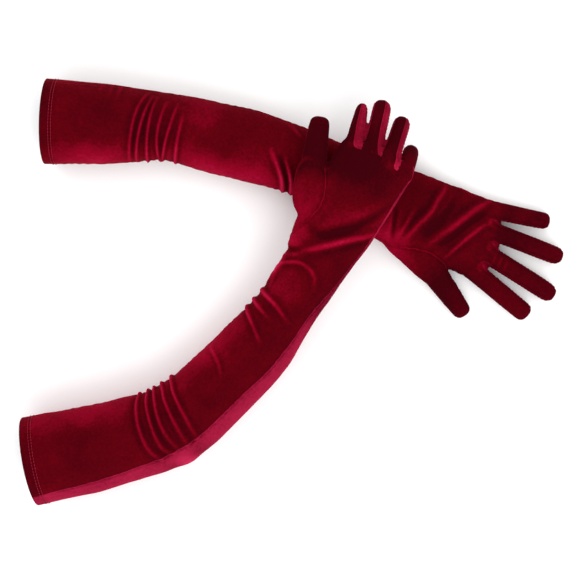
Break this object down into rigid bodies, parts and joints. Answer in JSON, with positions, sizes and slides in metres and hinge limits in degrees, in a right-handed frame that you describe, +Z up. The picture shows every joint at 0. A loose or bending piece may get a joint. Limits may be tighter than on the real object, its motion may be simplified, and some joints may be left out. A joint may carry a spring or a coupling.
{
  "type": "opera gloves",
  "caption": "Pair of long stretch-velvet opera gloves lying crossed, filled out as worn, with fourchettes between the fingers, set-in thumbs and a turned hem at the arm.",
  "frame": {"origin": "on the table, under the middle of the pair's bounding box", "axes": "+Z up from the table, +X along the pair's longest extent, from the arm openings towards the left glove's fingertips; +Y across, towards the left glove"},
  "size_m": [0.5742, 0.4484, 0.082],
  "materials": {
    "velvet": "crushed-free stretch velvet, dark face-on and crimson where it turns away",
    "palm_velvet": "the same velvet with the pile lying the other way, so it looks brighter",
    "fourchette_velvet": "narrow velvet strips between the fingers, brighter crimson",
    "hem_velvet": "turned hem with the matt knitted backing outwards"
  },
  "bodies": {
    "left_upper_sleeve": {"left_upper_back_panel": "velvet", "left_upper_palm_panel": "palm_velvet", "left_hem_band": "hem_velvet"},
    "left_forearm": {"left_forearm_back_panel": "velvet", "left_forearm_palm_panel": "palm_velvet"},
    "left_hand": {"left_hand_back_panel": "velvet", "left_hand_palm_panel": "palm_velvet", "left_gusset_back_half": "velvet", "left_gusset_palm_half": "palm_velvet"},
    "left_thumb": {"left_thumb_back_half": "velvet", "left_thumb_palm_half": "palm_velvet"},
    "left_index_finger": {"left_index_back_strip": "velvet", "left_index_palm_strip": "palm_velvet", "left_index_ulnar_fourchette": "fourchette_velvet"},
    "left_middle_finger": {"left_middle_back_strip": "velvet", "left_middle_palm_strip": "palm_velvet", "left_middle_ulnar_fourchette": "fourchette_velvet", "left_middle_radial_fourchette": "fourchette_velvet"},
    "left_ring_finger": {"left_ring_back_strip": "velvet", "left_ring_palm_strip": "palm_velvet", "left_ring_ulnar_fourchette": "fourchette_velvet", "left_ring_radial_fourchette": "fourchette_velvet"},
    "left_little_finger": {"left_little_back_strip": "velvet", "left_little_palm_strip": "palm_velvet", "left_little_radial_fourchette": "fourchette_velvet"},
    "right_upper_sleeve": {"right_upper_back_panel": "velvet", "right_upper_palm_panel": "palm_velvet", "right_hem_band": "hem_velvet"},
    "right_forearm": {"right_forearm_back_panel": "velvet", "right_forearm_palm_panel": "palm_velvet"},
    "right_hand": {"right_hand_back_panel": "velvet", "right_hand_palm_panel": "palm_velvet", "right_gusset_back_half": "velvet", "right_gusset_palm_half": "palm_velvet"},
    "right_thumb": {"right_thumb_back_half": "velvet", "right_thumb_palm_half": "palm_velvet"},
    "right_index_finger": {"right_index_back_strip": "velvet", "right_index_palm_strip": "palm_velvet", "right_index_ulnar_fourchette": "fourchette_velvet"},
    "right_middle_finger": {"right_middle_back_strip": "velvet", "right_middle_palm_strip": "palm_velvet", "right_middle_ulnar_fourchette": "fourchette_velvet", "right_middle_radial_fourchette": "fourchette_velvet"},
    "right_ring_finger": {"right_ring_back_strip": "velvet", "right_ring_palm_strip": "palm_velvet", "right_ring_ulnar_fourchette": "fourchette_velvet", "right_ring_radial_fourchette": "fourchette_velvet"},
    "right_little_finger": {"right_little_back_strip": "velvet", "right_little_palm_strip": "palm_velvet", "right_little_radial_fourchette": "fourchette_velvet"}
  },
  "joints": [
    {"name": "right_glove_lift", "type": "slide", "parent": "left_forearm", "child": "right_forearm", "axis": [0, 0, 1], "range_m": [0, 0.15]},
    {"name": "left_elbow_bend", "type": "hinge", "parent": "left_forearm", "child": "left_upper_sleeve", "pos_m": [-0.13743, 0.17459, 0.03], "axis": [0, 0, 1], "range_deg": [-35, 35]},
    {"name": "left_wrist_swing", "type": "hinge", "parent": "left_forearm", "child": "left_hand", "pos_m": [0.08717, 0.10249, 0.018], "axis": [0, 0, 1], "range_deg": [-20, 20]},
    {"name": "left_thumb_spread", "type": "hinge", "parent": "left_hand", "child": "left_thumb", "pos_m": [0.14997, 0.01639, 0.012], "axis": [0, 0, 1], "range_deg": [-25, 8]},
    {"name": "left_index_lift", "type": "hinge", "parent": "left_hand", "child": "left_index_finger", "pos_m": [0.19337, 0.01949, 0.012], "axis": [-0.6444, -0.7647, 0], "range_deg": [0, 40]},
    {"name": "left_middle_lift", "type": "hinge", "parent": "left_hand", "child": "left_middle_finger", "pos_m": [0.20417, 0.03929, 0.012], "axis": [-0.5453, -0.8382, 0], "range_deg": [0, 40]},
    {"name": "left_ring_lift", "type": "hinge", "parent": "left_hand", "child": "left_ring_finger", "pos_m": [0.20997, 0.06399, 0.012], "axis": [-0.361, -0.9326, 0], "range_deg": [0, 40]},
    {"name": "left_little_lift", "type": "hinge", "parent": "left_hand", "child": "left_little_finger", "pos_m": [0.20887, 0.08809, 0.0115], "axis": [-0.2034, -0.9791, 0], "range_deg": [0, 40]},
    {"name": "right_elbow_bend", "type": "hinge", "parent": "right_forearm", "child": "right_upper_sleeve", "pos_m": [-0.11383, -0.12821, 0.0356], "axis": [0, 0, 1], "range_deg": [-35, 35]},
    {"name": "right_wrist_swing", "type": "hinge", "parent": "right_forearm", "child": "right_hand", "pos_m": [0.01657, 0.02379, 0.054], "axis": [0, 0, 1], "range_deg": [-20, 6]},
    {"name": "right_thumb_spread", "type": "hinge", "parent": "right_hand", "child": "right_thumb", "pos_m": [0.02007, 0.13319, 0.064], "axis": [0, 0, 1], "range_deg": [-8, 25]},
    {"name": "right_index_lift", "type": "hinge", "parent": "right_hand", "child": "right_index_finger", "pos_m": [0.05917, 0.15179, 0.063], "axis": [0.9757, -0.2192, 0], "range_deg": [-10, 30]},
    {"name": "right_middle_lift", "type": "hinge", "parent": "right_hand", "child": "right_middle_finger", "pos_m": [0.07847, 0.14679, 0.063], "axis": [0.9725, -0.2329, 0], "range_deg": [-10, 30]},
    {"name": "right_ring_lift", "type": "hinge", "parent": "right_hand", "child": "right_ring_finger", "pos_m": [0.09657, 0.13699, 0.063], "axis": [0.953, -0.303, 0], "range_deg": [-10, 30]},
    {"name": "right_little_lift", "type": "hinge", "parent": "right_hand", "child": "right_little_finger", "pos_m": [0.11337, 0.12439, 0.062], "axis": [0.952, -0.3062, 0], "range_deg": [-10, 30]}
  ]
}
